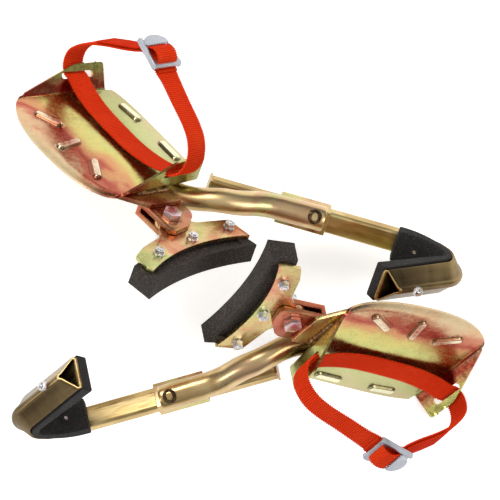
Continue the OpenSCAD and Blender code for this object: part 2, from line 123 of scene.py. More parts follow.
# ---- Node trees ----
class Mat:
    """A material's node tree, with short calls to add and link its nodes."""

    def __init__(self, name):
        self.mat = bpy.data.materials.new(name)
        self.mat.use_nodes = True
        self.tree = self.mat.node_tree
        self.shader = self.tree.nodes["Principled BSDF"]

    def add(self, kind, values=None, **props):
        n = self.tree.nodes.new("ShaderNode" + kind)
        for k, v in props.items():
            setattr(n, k, v)
        for k, v in (values or {}).items():
            self.put(n.inputs[k], v)
        return n

    def put(self, socket, value):
        if isinstance(value, bpy.types.NodeSocket):
            self.tree.links.new(value, socket)
        else:
            socket.default_value = value

    def set(self, **values):
        for k, v in values.items():
            self.put(self.shader.inputs[k.replace("_", " ")], v)

    def coords(self, stretch=(1, 1, 1), attribute=None, turn=(0, 0, 0), shift=0):
        """Position in metres, or a stored one, with an offset that differs between the units."""
        if attribute:
            base = self.add("Attribute", attribute_name=attribute).outputs["Vector"]
        else:
            base = self.add("TexCoord").outputs["Object"]
        index = self.add("ObjectInfo").outputs["Object Index"]
        away = self.add("Math", {0: index, 1: 0.37 + shift}, operation="MULTIPLY").outputs[0]
        moved = self.add("VectorMath", {0: base, 1: away}, operation="ADD").outputs[0]
        turned = self.add("Mapping", {"Vector": moved, "Rotation": turn, "Scale": stretch})
        return turned.outputs[0]

    def noise(self, where, scale, detail=3.0, rough=0.5, bend=0.0):
        return self.add("TexNoise", {"Vector": where, "Scale": scale, "Detail": detail, "Roughness": rough,
                                     "Distortion": bend}).outputs["Fac"]

    def ramp(self, fac, stops):
        n = self.add("ValToRGB", {"Fac": fac})
        ramp = n.color_ramp
        ramp.interpolation = "EASE"
        while len(ramp.elements) < len(stops):
            ramp.elements.new(0.5)
        for e, (at, colour) in zip(ramp.elements, stops):
            e.position, e.color = at, (*colour, 1)
        return n.outputs["Color"]

    def mix(self, fac, a, b, how="MIX"):
        n = self.add("Mix", data_type="RGBA", blend_type=how)
        for i, v in ((0, fac), (6, a), (7, b)):
            self.put(n.inputs[i], v if isinstance(v, (float, bpy.types.NodeSocket)) else (*v, 1))
        return n.outputs[2]

    def span(self, value, lo, hi, to_lo=0.0, to_hi=1.0):
        return self.add("MapRange", {"Value": value, "From Min": lo, "From Max": hi, "To Min": to_lo,
                                     "To Max": to_hi}).outputs[0]

    def math(self, how, a, b=0.0):
        return self.add("Math", {0: a, 1: b}, operation=how).outputs[0]

    def bump(self, height, strength, distance, under=None):
        values = {"Height": height, "Strength": strength, "Distance": distance}
        if under is not None:
            values["Normal"] = under
        return self.add("Bump", values).outputs[0]


# Colours of the passivated zinc, as reflected light; on the stamped beads, a painted shade for the sloping
# foot and a painted highlight for the top
DEEP_RED, PALE_GOLD, BRONZE = (0.20, 0.022, 0.018), (0.80, 0.62, 0.36), (0.30, 0.19, 0.08)
BEAD_PAINTED_SHADE, BEAD_PAINTED_HIGHLIGHT = (0.10, 0.065, 0.03), (0.82, 0.82, 0.58)
CRUST = (0.012, 0.010, 0.006)


def zinc(name, stops, patch=20.0, stretch=(1, 1, 1), streaks=0.0, rough=(0.16, 0.34), attribute=None,
         grain=0.06, shift=0.0, field=None):
    """Yellow zinc: soft patches of the passivation's colours, streaks along the metal and a fine grain.

    With a field, the colours run across the plate between its two values, as plate_marks stores them, and two
    stored masks paint shade on each stamped bead's sloping foot and a highlight on its top.
    """
    m = Mat(name)
    where = m.coords(attribute=attribute, shift=shift)
    long = m.coords(stretch, attribute, shift=shift)
    patches = m.noise(where, patch, 2.5, 0.45, 0.7)
    veil = m.noise(where, patch * 3.1, 3.0, 0.55, 0.4)
    drawn = m.noise(long, 260.0, 4.0, 0.6)
    fac = m.math("ADD", patches, m.span(veil, 0.3, 0.7, -0.07, 0.07))
    if field:
        stored = m.add("Attribute", attribute_name="marks").outputs["Vector"]
        marks = m.add("SeparateXYZ", {"Vector": stored}).outputs
        fac = m.math("ADD", m.span(marks["X"], *field, 0.0, 1.0), m.span(fac, 0.3, 0.7, -0.10, 0.10))
    fac = m.math("ADD", fac, m.span(drawn, 0.3, 0.7, -streaks, streaks))
    colour = m.ramp(fac, stops)
    cloud = m.noise(where, 420.0, 3.0, 0.6)
    colour = m.mix(m.span(cloud, 0.45, 0.8, 0.0, 0.14), colour, BRONZE)
    dust = m.noise(where, 1500.0, 2.0, 0.6)
    colour = m.mix(m.span(dust, 0.62, 0.75, 0.0, 0.15), colour, PALE_GOLD)
    if field:
        # Painted shade on each stamped bead's sloping foot, then a painted highlight on its top, from the
        # stored masks
        colour = m.mix(m.math("MULTIPLY", marks["Y"], 0.85), colour, BEAD_PAINTED_SHADE)
        colour = m.mix(m.math("MULTIPLY", marks["Z"], 0.7), colour, BEAD_PAINTED_HIGHLIGHT)
    roughness = m.math("ADD", m.span(drawn, 0.3, 0.7, *rough), m.span(veil, 0.3, 0.7, -0.04, 0.06))
    fine = m.bump(m.noise(where, 2200.0, 2.0, 0.6), grain, 0.0002)
    brushed = m.bump(drawn, 0.10 + streaks, 0.0003, fine)
    peel = m.bump(m.noise(where, 90.0, 2.0, 0.5), 0.12, 0.0012, brushed)
    m.set(Base_Color=colour, Metallic=1.0, Roughness=roughness, Normal=peel)
    return m.mat


def steel(name, light, dark, rough=(0.2, 0.4), patch=60.0, warm=(0.75, 0.6, 0.62)):
    """Plain bright zinc: grey with a faint tint, small scratches and worn spots."""
    m = Mat(name)
    where = m.coords()
    wear = m.noise(where, patch, 4.0, 0.6, 0.3)
    colour = m.ramp(wear, [(0.3, dark), (0.48, light), (0.7, warm)])
    marks = m.noise(m.coords((1, 9, 2), turn=(0.4, 0.2, 0.9)), 300.0, 4.0, 0.65)
    colour = m.mix(m.span(marks, 0.55, 0.8, 0.0, 0.35), colour, dark)
    normal = m.bump(marks, 0.12, 0.0003, m.bump(m.noise(where, 1800.0, 2.0), 0.08, 0.0002))
    m.set(Base_Color=colour, Metallic=1.0, Roughness=m.span(marks, 0.3, 0.7, *rough), Normal=normal)
    return m.mat


def weld(name, burnt=0.0):
    """Plated weld metal: brown-gold scales with dark crusts between them, and a burnt share over all."""
    m = Mat(name)
    where = m.coords()
    crust = m.noise(where, 330.0, 5.0, 0.7, 0.6)
    colour = m.ramp(crust, [(0.3, (0.03, 0.015, 0.008)), (0.46, (0.12, 0.06, 0.028)),
                            (0.6, (0.33, 0.2, 0.08)), (0.75, PALE_GOLD)])
    colour = m.mix(burnt, colour, CRUST)
    normal = m.bump(m.noise(where, 900.0, 4.0, 0.7), 0.5, 0.0005)
    m.set(Base_Color=colour, Metallic=1.0, Roughness=m.span(crust, 0.3, 0.7, 0.55, 0.28), Normal=normal)
    return m.mat


def rubber(name, base, fleck, fleck_size=1500.0, amount=(0.62, 0.72), folds=None):
    """Rubber with chopped cord in it: dark, with small pale flecks, and a dull worn bloom."""
    m = Mat(name)
    where = m.coords()
    worn = m.noise(where, 45.0, 4.0, 0.6)
    cells = m.add("TexVoronoi", {"Vector": where, "Scale": fleck_size, "Randomness": 1.0})
    speck = m.math("MULTIPLY", m.span(m.noise(where, fleck_size * 0.7, 2.0, 0.6), *amount),
                   m.span(worn, 0.35, 0.6, 0.45, 1.0))
    colour = m.mix(m.span(worn, 0.3, 0.7, 0.0, 0.6), base, tuple(1.9 * c for c in base))
    colour = m.mix(speck, colour, fleck)
    pits = m.bump(cells.outputs["Distance"], 0.6, 0.0009)
    normal = m.bump(worn, 0.25, 0.001, pits)
    if folds:
        along = m.add("Attribute", attribute_name="across").outputs["Fac"]
        lines = m.add("TexWave", {"Vector": m.add("CombineXYZ", {"X": along}).outputs[0], "Scale": folds,
                                  "Distortion": 0.0}, wave_type="BANDS", bands_direction="X")
        normal = m.bump(lines.outputs["Fac"], 0.35, 0.0004, normal)
    m.set(Base_Color=colour, Roughness=m.span(worn, 0.3, 0.7, 0.62, 0.85), Normal=normal)
    m.shader.inputs["Specular IOR Level"].default_value = 0.35
    return m.mat


def webbing_material(name):
    """Woven webbing: ribs across the band, each made of slanted yarns, with painted shade in the weave's
    hollows and grooves and painted highlights on its crests.
    """
    m = Mat(name)
    weave = m.add("Attribute", attribute_name="weave").outputs["Vector"]
    parts = m.add("SeparateXYZ", {"Vector": weave})
    u, v = parts.outputs["X"], parts.outputs["Y"]
    slant = m.math("ADD", m.math("MULTIPLY", u, 2 * pi / TWILL_W), m.math("MULTIPLY", v, pi / RIB))
    twill = m.math("SINE", slant)
    yarns = m.math("SINE", m.math("MULTIPLY", u, 2 * pi / YARN_W))
    ribs = m.math("COSINE", m.math("MULTIPLY", v, 2 * pi / RIB))
    fuzz = m.noise(weave, 1.7, 3.0, 0.6)
    height = m.math("ADD", m.math("MULTIPLY", twill, 0.6), m.math("MULTIPLY", yarns, 0.25))
    height = m.math("ADD", height, m.math("MULTIPLY", ribs, 0.5))
    # Painted light from the weave's relief: darker in its hollows, lighter on its crests, a little uneven
    shade = m.span(m.math("ADD", height, m.span(fuzz, 0.3, 0.7, -0.4, 0.4)), -1.1, 1.1)
    slow = m.noise(m.coords(), 30.0, 3.0, 0.5)
    colour = m.mix(shade, (0.74, 0.012, 0.002), (1.0, 0.075, 0.008))
    # Painted shade, deeper in the grooves between the ribs
    groove_painted_shade = m.span(ribs, -1.0, -0.4, 0.45, 0.0)
    colour = m.mix(groove_painted_shade, colour, (0.42, 0.008, 0.003))
    colour = m.mix(m.span(slow, 0.4, 0.75, 0.0, 0.25), colour, (1.0, 0.09, 0.02))
    m.set(Base_Color=colour, Roughness=0.78, Normal=m.bump(height, 0.8, 0.0008))
    m.shader.inputs["Specular IOR Level"].default_value = 0.05
    return m.mat


PLATE_STOPS = [(0.0, (0.50, 0.38, 0.22)), (0.10, (0.52, 0.34, 0.19)), (0.17, (0.42, 0.13, 0.07)),
               (0.23, (0.34, 0.055, 0.03)), (0.31, (0.50, 0.24, 0.10)), (0.42, (0.50, 0.44, 0.13)),
               (0.56, (0.46, 0.47, 0.15)), (0.76, (0.36, 0.38, 0.15)), (0.9, (0.44, 0.45, 0.20)),
               (1.0, (0.50, 0.44, 0.24))]
GUSSET_STOPS = [(0.30, DEEP_RED), (0.42, (0.36, 0.09, 0.045)), (0.54, (0.52, 0.24, 0.12)),
                (0.66, (0.50, 0.42, 0.17))]
BRACKET_STOPS = [(0.30, (0.42, 0.12, 0.06)), (0.42, (0.52, 0.24, 0.12)), (0.52, (0.52, 0.40, 0.17)),
                 (0.64, (0.40, 0.42, 0.16)), (0.78, (0.50, 0.25, 0.14))]
CLEVIS_STOPS = [(0.30, (0.27, 0.04, 0.02)), (0.48, (0.40, 0.10, 0.05)), (0.62, (0.42, 0.20, 0.09)),
                (0.78, (0.35, 0.30, 0.12))]
TUBE_STOPS = [(0.28, (0.30, 0.19, 0.09)), (0.42, (0.50, 0.34, 0.15)), (0.52, (0.62, 0.46, 0.23)),
              (0.62, (0.56, 0.36, 0.20)), (0.78, (0.46, 0.43, 0.19))]
SLEEVE_STOPS = [(0.30, (0.36, 0.20, 0.10)), (0.44, (0.54, 0.36, 0.17)), (0.54, (0.52, 0.44, 0.19)),
                (0.70, (0.40, 0.40, 0.15))]
BAR_STOPS = [(0.30, (0.34, 0.22, 0.09)), (0.45, (0.48, 0.34, 0.14)), (0.56, (0.62, 0.46, 0.22)),
             (0.74, (0.50, 0.44, 0.20))]
HOOK_STOPS = [(0.30, (0.061, 0.044, 0.020)), (0.48, (0.11, 0.075, 0.034)), (0.60, (0.16, 0.11, 0.051)),
              (0.75, (0.27, 0.19, 0.082))]

MATS = {
    "plate": zinc("zinc_plate", PLATE_STOPS, 15.0, rough=(0.17, 0.30), field=(TOE_END, HEEL_END), grain=0.03),
    "gusset": zinc("zinc_gusset", GUSSET_STOPS, 15.0, rough=(0.2, 0.36), shift=0.05),
    "bracket": zinc("zinc_bracket", BRACKET_STOPS, 17.0, rough=(0.18, 0.34), shift=0.11),
    "clevis": zinc("zinc_clevis", CLEVIS_STOPS, 13.0, rough=(0.2, 0.36), shift=0.31),
    "tube": zinc("zinc_tube", TUBE_STOPS, 14.0, (0.02, 1, 1), 0.05, (0.2, 0.38), attribute="along"),
    "sleeve": zinc("zinc_sleeve", SLEEVE_STOPS, 26.0, rough=(0.24, 0.4), shift=0.2),
    "bar": zinc("zinc_bar", BAR_STOPS, 16.0, (0.02, 1, 1), 0.10, (0.26, 0.44), attribute="along"),
    "hook": zinc("zinc_hook", HOOK_STOPS, 12.0, (0.012, 1, 1), 0.12, (0.22, 0.42), attribute="along"),
    "bolt": steel("bright_bolt", (0.56, 0.42, 0.43), (0.36, 0.25, 0.26), patch=30.0, warm=(0.66, 0.44, 0.44)),
    "nut": steel("bright_nut", (0.60, 0.60, 0.60), (0.26, 0.25, 0.24)),
    "buckle": steel("satin_buckle", (0.46, 0.48, 0.52), (0.30, 0.31, 0.34), (0.34, 0.5), 40.0,
                    (0.56, 0.58, 0.62)),
    "weld": weld("weld_metal"),
    "burnt": weld("weld_burnt", 0.7),
    "pad": rubber("pad_rubber", (0.010, 0.0065, 0.0045), (0.075, 0.055, 0.04), 900.0, (0.50, 0.66)),
    "lining": rubber("lining_rubber", (0.007, 0.006, 0.005), (0.06, 0.052, 0.045), 1100.0, (0.56, 0.68),
                     folds=16.0),
    "webbing": webbing_material("webbing"),
}


# ---- Mesh helpers ----
def piece(name, verts, faces, side, body, mat, frame_in=None, replaces=(), smooth=True, vectors=None):
    """A mesh given in the unit's frame, in millimetres, that rides on the side's body."""
    mesh = bpy.data.meshes.new(f"{side}_{name}")
    place = UNIT[side] @ Matrix.Scale(MM, 4) @ (frame_in or Matrix.Identity(4))
    mesh.from_pydata([tuple(place @ Vector(v)) for v in verts], [], faces)
    mesh.validate()
    for key, rows in (vectors or {}).items():
        kind = "FLOAT_VECTOR" if hasattr(rows[0], "__len__") else "FLOAT"
        layer = mesh.attributes.new(key, kind, "POINT")
        flat = [c for row in rows for c in row] if kind == "FLOAT_VECTOR" else rows
        layer.data.foreach_set("vector" if kind == "FLOAT_VECTOR" else "value", flat)
    obj = bpy.data.objects.new(f"{side}_{name}", mesh)
    bpy.context.scene.collection.objects.link(obj)
    obj.pass_index = SIDES.index(side)
    mesh.materials.append(MATS[mat])
    if smooth:
        mesh.shade_smooth()
    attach(obj, f"{side}_{body}")
    for node in replaces:
        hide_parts(f"{side}_{node}")
    return obj


def outward(obj):
    """Turns every face of a closed mesh to face out."""
    bm = bmesh.new()
    bm.from_mesh(obj.data)
    bmesh.ops.recalc_face_normals(bm, faces=bm.faces)
    bm.to_mesh(obj.data)
    bm.free()
    return obj


def bevel(obj, width, segments=3, angle=35):
    """Rounds the sharp edges, and keeps the flat faces flat-shaded."""
    mod = obj.modifiers.new("edges", "BEVEL")
    mod.width, mod.segments = width * MM, segments
    mod.limit_method, mod.angle_limit = "ANGLE", radians(angle)
    mod.harden_normals = True
    mod.use_clamp_overlap = True
    obj.data.shade_smooth()
    return obj


def torus_faces(rings, per):
    """Quads between rings that close both ways: round each ring, and from the last to the first."""
    return [(i * per + k, i * per + (k + 1) % per, ((i + 1) % rings) * per + (k + 1) % per,
             ((i + 1) % rings) * per + k) for i in range(rings) for k in range(per)]


def capped_faces(rings, per):
    """Quads between rings from the first to the last, with a face over each end."""
    quads = [(i * per + k, i * per + (k + 1) % per, (i + 1) * per + (k + 1) % per, (i + 1) * per + k)
             for i in range(rings - 1) for k in range(per)]
    return quads + [tuple(range(per))[::-1], tuple(range((rings - 1) * per, rings * per))]


def catmull(points, per, closed=False):
    """A smooth curve through points, per steps a span."""
    n, out = len(points), []
    at = (lambda i: Vector(points[i % n])) if closed else (lambda i: Vector(points[min(max(i, 0), n - 1)]))
    for i in range(n if closed else n - 1):
        a, b, c, d = at(i - 1), at(i), at(i + 1), at(i + 2)
        for k in range(per):
            t = k / per
            out.append(0.5 * (2 * b + (c - a) * t + (2 * a - 5 * b + 4 * c - d) * t * t
                              + (3 * b - a - 3 * c + d) * t ** 3))
    return out if closed else out + [at(n - 1)]


def evenly(curve, step, closed=False):
    """The curve's points again, at an even distance."""
    path = curve + [curve[0]] if closed else curve
    total = sum((b - a).length for a, b in zip(path, path[1:]))
    count = max(2, round(total / step))
    gap, out, left, i = total / count, [path[0].copy()], 0.0, 0
    for a, b in zip(path, path[1:]):
        length = (b - a).length
        while left + length >= gap * len(out) - 1e-9 and len(out) <= count:
            out.append(a.lerp(b, (gap * len(out) - left) / max(length, 1e-9)))
        left += length
    out = out[:count + 1]
    return (out[:-1] if closed else out), gap


# ---- Foot plate: a sheet cut flat, then folded, drawn and stamped ----
FOLD_R = 3
FOLDS = {
    "inner": {"x": PLATE_X + PLATE_W_TOE / 2 - FLANGE_LAP - FOLD_R, "sign": 1, "angle": 90},
    "outer": {"x": PLATE_X - PLATE_W_TOE / 2 - FLANGE_LAP + SHEET_T / cos(radians(OUTER_LEAN))
              + FOLD_R * tan(radians((90 - OUTER_LEAN) / 2)), "sign": -1, "angle": 90 - OUTER_LEAN},
}


def fold_axes(f):
    """The fold line's start, its direction, and the direction out over it."""
    s, a = f["sign"], radians(SPLAY)
    return Vector((f["x"], TOE_Y)), Vector((-s * sin(a), cos(a))), Vector((s * cos(a), sin(a)))


def flange_depth(f, h):
    """Distance past the fold line, on the flat sheet, of a point h up the flange."""
    angle = radians(f["angle"])
    inner_foot = FOLD_R if f["sign"] > 0 else FOLD_R * tan(angle / 2) - SHEET_T * tan(radians(OUTER_LEAN))
    return FOLD_R * angle + h - inner_foot


def on_flat(f, t, h):
    start, along, out = fold_axes(f)
    return start + along * t + out * flange_depth(f, h)


def on_bend(f, p):
    """Whether a point of the flat sheet is on the fold's bend, with a small margin."""
    start, _, out = fold_axes(f)
    return -1 < (p - start).dot(out) < FOLD_R * radians(f["angle"]) + 1.4


def spow(value, power):
    """A power that keeps the sign, for rounded-square curves."""
    return abs(value) ** power * (1 if value >= 0 else -1)


def smoothstep(x):
    x = min(max(x, 0.0), 1.0)
    return x * x * (3 - 2 * x)


def rounded(corners, radii, steps=5):
    """A closed outline with each corner cut by a curve of about the given radius."""
    out, n = [], len(corners)
    for i, (c, r) in enumerate(zip(corners, radii)):
        c, a, b = Vector(c), Vector(corners[i - 1]), Vector(corners[(i + 1) % n])
        if not r:
            out.append(c)
            continue
        p, q = c + (a - c).normalized() * r, c + (b - c).normalized() * r
        for k in range(steps + 1):
            t = k / steps
            out.append(p * (1 - t) ** 2 + c * 2 * t * (1 - t) + q * t * t)
    return out


def sheet_outline():
    """The flat sheet's outline: toe, inner flange, heel, outer flange."""
    toe = []
    for a in range(186, 357, 6):
        power = OUTER_TOE_ROUND if a < 270 else INNER_TOE_ROUND
        toe.append(Vector((PLATE_X + PLATE_W_TOE / 2 * spow(cos(radians(a)), 0.85),
                           TOE_Y + TOE_INSET + TOE_REACH * spow(sin(radians(a)), power))))
    heel = [Vector((PLATE_X + PLATE_W_HEEL / 2 * spow(cos(radians(a)), 0.6),
                    HEEL_Y + HEEL_BULGE * spow(sin(radians(a)), 0.8))) for a in range(25, 156, 10)]

    def flange(f, high):
        ends = [(2, 0.5), (TAPER_L, high), (FLANGE_END, high), (FLANGE_END, -2)]
        return rounded([on_flat(f, t, h) for t, h in ends], [0, 5, 3, 0])

    inner, outer = flange(FOLDS["inner"], FLANGE_H), flange(FOLDS["outer"], OUTER_FLANGE_H)
    return toe + inner + heel + outer[::-1]


def slot_outline(f):
    reach, out = (SLOT_L - SLOT_H) / 2, []
    for end, first in ((reach, -90), (-reach, 90)):
        for k in range(9):
            a = radians(first + 180 * k / 8)
            out.append(on_flat(f, SLOT_AT + end + SLOT_H / 2 * cos(a), SLOT_UP + SLOT_H / 2 * sin(a)))
    return out


def inside(p, loop):
    hit = False
    for a, b in zip(loop, loop[1:] + loop[:1]):
        if (a[1] > p[1]) != (b[1] > p[1]) and p[0] < (b[0] - a[0]) * (p[1] - a[1]) / (b[1] - a[1]) + a[0]:
            hit = not hit
    return hit


def bead_distance(p, bead):
    x, y, turn, length = bead
    along = Vector((cos(radians(turn)), sin(radians(turn))))
    d = Vector((p[0] - x, p[1] - y))
    t = min(max(d.dot(along), -length / 2), length / 2)
    return (d - along * t).length


BEAD_TOP, BEAD_FOOT, BEAD_RISE = 2.5, 4.9, 2.7
# Where the folds fade in before the flanges start, the toe's soft dip, and the sheet's slight waves
FOLD_FADE_FROM, FOLD_FADE_L = 16, 17
TOE_INSET, TOE_DIP, TOE_DIP_FROM, TOE_DIP_L = 2, 2.2, 13, 15
WAVE, WAVE_X, WAVE_Y = 0.35, 21, 17
# Steps of the mesh: along the outline and the slots, and across the flat middle
OUTLINE_STEP, SLOT_STEP, GRID_X, GRID_Y, GRID_REACH = 1.6, 1.2, 2.5, 2.2, 115
# How far points on a bend, on the grid and round a bead stay from the rim, and where beads take over
BEND_GAP, GRID_GAP, BEAD_GAP, BEAD_ZONE, BEAD_REACH = 0.9, 1.2, 0.8, 5.7, 5.3


def folded(p):
    """The sheet's inner face at a point of the flat pattern."""
    x, y, z = p[0], p[1], 0.0
    for f in FOLDS.values():
        start, along, out = fold_axes(f)
        rel = Vector((x, y)) - start
        t, d = rel.dot(along), rel.dot(out)
        if d <= 0:
            continue
        angle = radians(f["angle"]) * smoothstep((t + FOLD_FADE_FROM) / FOLD_FADE_L)
        turned = min(d / FOLD_R, angle)
        flat, up = FOLD_R * sin(turned), FOLD_R * (1 - cos(turned))
        rest = d - FOLD_R * turned
        flat, up = flat + rest * cos(turned), up + rest * sin(turned)
        q = start + along * t + out * flat
        x, y, z = q.x, q.y, z + up
    near = min(bead_distance((x, y), b) for b in BEADS)
    z += BEAD_RISE * smoothstep((BEAD_FOOT - near) / (BEAD_FOOT - BEAD_TOP))
    power = (OUTER_TOE_ROUND if x < PLATE_X else INNER_TOE_ROUND) / 2
    across = abs(x - PLATE_X) / (PLATE_W_TOE / 2)
    edge = TOE_Y + TOE_INSET - TOE_REACH * max(1 - across ** 2.35, 0) ** power
    z -= TOE_DIP * smoothstep((edge + TOE_DIP_FROM - y) / TOE_DIP_L) ** 2 * (1 if y < TOE_Y + 4 else 0)
    z += WAVE * sin((x - PLATE_X) / WAVE_X) * cos(y / WAVE_Y)
    return x, y, z


def plate_marks(q):
    """What the plate's material reads: the unit's y, a mask for painted shade round the sloping foot of a
    stamped bead, and one for a painted highlight on its top.

    On the outer flange the first follows the distance past the fold instead of y.
    """
    near = min(bead_distance(q, b) for b in BEADS)
    start, _, out = fold_axes(FOLDS["outer"])
    past = (Vector(q[:2]) - start).dot(out)
    shade = q[1] if past < 0 else q[1] + (1.9 * past - 50 - q[1]) * smoothstep(past / 4)
    # After the tone, a mask for painted shade round a bead's sloping foot and one for a painted highlight on
    # its top
    return shade, smoothstep(1 - abs(near - 4.1) / 1.3), smoothstep((3.2 - near) / 0.8)


def sheet_points(outline, slots):
    """The rim's points and those inside: rows on the bends, a grid on the flat, rows round the beads."""
    rim, keep = [p for loop in (outline, *slots) for p in loop], []

    def clear(q, gap):
        return inside(q, outline) and not any(inside(q, s) for s in slots) and all(
            (q - r).length_squared > gap * gap for r in rim if abs(q.x - r.x) < gap)

    for f in FOLDS.values():
        start, along, out = fold_axes(f)
        bend = FOLD_R * radians(f["angle"])
        for k in range(-1, 8):
            for t in range(-20, int(FLANGE_EDGE), 2):
                q = start + along * t + out * bend * k / 6
                if clear(q, BEND_GAP):
                    keep.append(q)
    row, y = 0, TOE_END
    while y < HEEL_END:
        x = PLATE_X - GRID_REACH + (row % 2) * GRID_X / 2
        while x < PLATE_X + GRID_REACH:
            q = Vector((x, y))
            near = min(bead_distance(q, b) for b in BEADS)
            if near > BEAD_ZONE and not any(on_bend(f, q) for f in FOLDS.values()) and clear(q, GRID_GAP):
                keep.append(q)
            x += GRID_X
        y, row = y + GRID_Y, row + 1
    for b in BEADS:
        along = Vector((cos(radians(b[2])), sin(radians(b[2]))))
        out = Vector((-along.y, along.x))
        rows = int(b[3] / 2 + 6) * 3
        for i in range(-rows // 2, rows // 2 + 1):
            for j in range(-9, 10):
                q = Vector(b[:2]) + along * i / 1.5 + out * j / 1.6
                if bead_distance(q, b) < BEAD_REACH and clear(q, BEAD_GAP):
                    keep.append(q)
    return rim, keep


def foot_plate(side):
    """One sheet: the flat pattern is meshed, folded point by point, and given its thickness."""
    outline, _ = evenly(sheet_outline(), OUTLINE_STEP, True)
    slots = [evenly(slot_outline(f), SLOT_STEP, True)[0] for f in FOLDS.values()]
    points, keep = sheet_points(outline, slots)
    edges, first = [], 0
    for loop in (outline, *slots):
        n = len(loop)
        edges += [(first + k, first + (k + 1) % n) for k in range(n)]
        first += n
    made = delaunay_2d_cdt(points + keep, edges, [], 0, 1e-4)
    flat, faces = made[0], made[2]

    def is_sheet(face):
        c = sum((flat[i] for i in face), Vector((0, 0))) / len(face)
        return inside(c, outline) and not any(inside(c, s) for s in slots)

    faces = [f for f in faces if is_sheet(f)]
    obj = piece("foot_plate_sheet", [folded(q) for q in flat], faces, side, "climber", "plate",
                replaces=["foot_plate"], vectors={"marks": [plate_marks(q) for q in flat]})
    bm = bmesh.new()
    bm.from_mesh(obj.data)
    bmesh.ops.delete(bm, geom=[v for v in bm.verts if not v.link_faces], context="VERTS")
    bmesh.ops.recalc_face_normals(bm, faces=bm.faces)
    up = UNIT[side].to_3x3() @ Vector((0, 0, 1))
    if sum(f.normal.dot(up) * f.calc_area() for f in bm.faces) < 0:
        bmesh.ops.reverse_faces(bm, faces=bm.faces)
    bm.to_mesh(obj.data)
    bm.free()
    thick = obj.modifiers.new("sheet", "SOLIDIFY")
    thick.thickness, thick.offset = SHEET_T * MM, -1
    return bevel(obj, 0.5, 2, 60)


# ---- Hook bar: box section in the sleeve, pressed to a triangle round the hook ----
def run(state, length, step):
    count = max(1, round(length / step))
    return [(state[0] + length * k / count * cos(radians(state[2])),
             state[1] + length * k / count * sin(radians(state[2])), state[2]) for k in range(1, count + 1)]


def turn(state, radius, angle, step=2.0):
    """Steps round an arc: angle above zero turns left, below zero turns right."""
    s = 1 if angle > 0 else -1
    cx, cy = (state[i] + radius * (cos, sin)[i](radians(state[2] + 90 * s)) for i in (0, 1))
    count = max(2, round(abs(angle) / step))
    out = []
    for k in range(1, count + 1):
        h = state[2] + angle * k / count
        out.append((cx + radius * cos(radians(h - 90 * s)), cy + radius * sin(radians(h - 90 * s)), h))
    return out


def hook_route(x_from):
    start = (x_from, -BAR_T / 2, 0)
    straight = [start] + run(start, KNEE_X - x_from, 4)
    knee = turn(straight[-1], KNEE_R, -KNEE_TURN)
    leg = run(knee[-1], LEG_1, 2)
    bend = turn(leg[-1], BEND_R, -BEND_TURN, 2.5)
    long_leg = run(bend[-1], LEG_2, 3)
    path = straight + knee + leg + bend + long_leg
    return path, len(straight), len(straight) + len(knee) - 1


def bar_ring(m, inset):
    """The section as (distance from the pole-side face, height): box at m = 0, triangle at m = 1."""

    def mix(a, b):
        return a + (b - a) * m

    r = BAR_R - inset
    half, deep = mix(BAR_H, HOOK_BASE) / 2 - BAR_R, mix(BAR_T, HOOK_DEPTH) - BAR_R
    top, out = mix(BAR_H / 2 - BAR_R, RIDGE_HALF), []
    for n, z, first in ((BAR_R, half, 180), (deep, top, 90), (deep, -top, 0), (BAR_R, -half, -90)):
        turns = [radians(first - 15 * k) for k in range(7)]
        out += [(n + r * cos(a), z + r * sin(a)) for a in turns]
    return out


def place_ring(s, ring, slant):
    a = radians(s[2])
    return [(s[0] - q[0] * sin(a) - slant * q[0] / HOOK_DEPTH * cos(a),
             s[1] + q[0] * cos(a) - slant * q[0] / HOOK_DEPTH * sin(a), q[1]) for q in ring]


def hook_bar(side):
    path, knee_first, knee_last = hook_route(TAIL_FROM)
    share = [min(max((i - knee_first) / (knee_last - knee_first), 0), 1) for i in range(len(path))]
    length = [0.0]
    for a, b in zip(path, path[1:]):
        length.append(length[-1] + hypot(b[0] - a[0], b[1] - a[1]))
    rings, along, rim = [], [], 0.5
    last = len(path) - 1

    def add(i, inset, back):
        s, slant = path[i], END_SLANT * max(0, 1 - (last - i) / 8)
        a = radians(s[2])
        s = (s[0] - back * cos(a), s[1] - back * sin(a), s[2])
        ring = bar_ring(share[i], inset)
        rings.append(place_ring(s, ring, slant))
        for k, q in enumerate(ring):
            along.append((length[i] * MM, k / len(ring) * 0.06, share[i]))

    for wall, order in ((0, range(last + 1)), (BAR_WALL, range(last, -1, -1))):
        sign = 1 if wall == 0 else -1
        for i in order:
            at_end = {0: -1, last: 1}.get(i, 0)
            if not at_end:
                add(i, wall, 0)
                continue
            turns = (90, 45) if (at_end < 0) == (wall == 0) else (0, 45)
            for a in turns:
                add(i, wall + sign * rim * (1 - cos(radians(a))), at_end * rim * (1 - sin(radians(a))))
            if (at_end < 0) == (wall == 0):
                add(i, wall, at_end * rim)
    verts = [v for r in rings for v in r]
    per = len(rings[0])
    obj = piece("hook_bar_tube", verts, torus_faces(len(rings), per), side, "hook", "bar", ON_SLIDE,
                ["hook_bar"], vectors={"along": along})
    obj.data.materials.append(MATS["hook"])
    for p in obj.data.polygons:
        at_end = all(along[v][0] > (length[last] - 0.01) * MM for v in p.vertices)
        if sum(along[v][2] for v in p.vertices) / len(p.vertices) > 0.55 and not at_end:
            p.material_index = 1
    return outward(obj)


def lining_ring(depth, low, high):
    """A rounded section as (distance from the bar's face, height), all on the pole's side."""
    out = []
    for n, z, sn, sz, r, first in ((-0.05, high, -1, -1, 0.3, 90), (-0.05, low, -1, 1, 0.3, 0),
                                   (-depth, low, 1, 1, 1.4, -90), (-depth, high, 1, -1, 1.4, 180)):
        turns = [radians(first - 22.5 * k) for k in range(5)]
        out += [(n + sn * r + r * cos(a), z + sz * r + r * sin(a)) for a in turns]
    return out


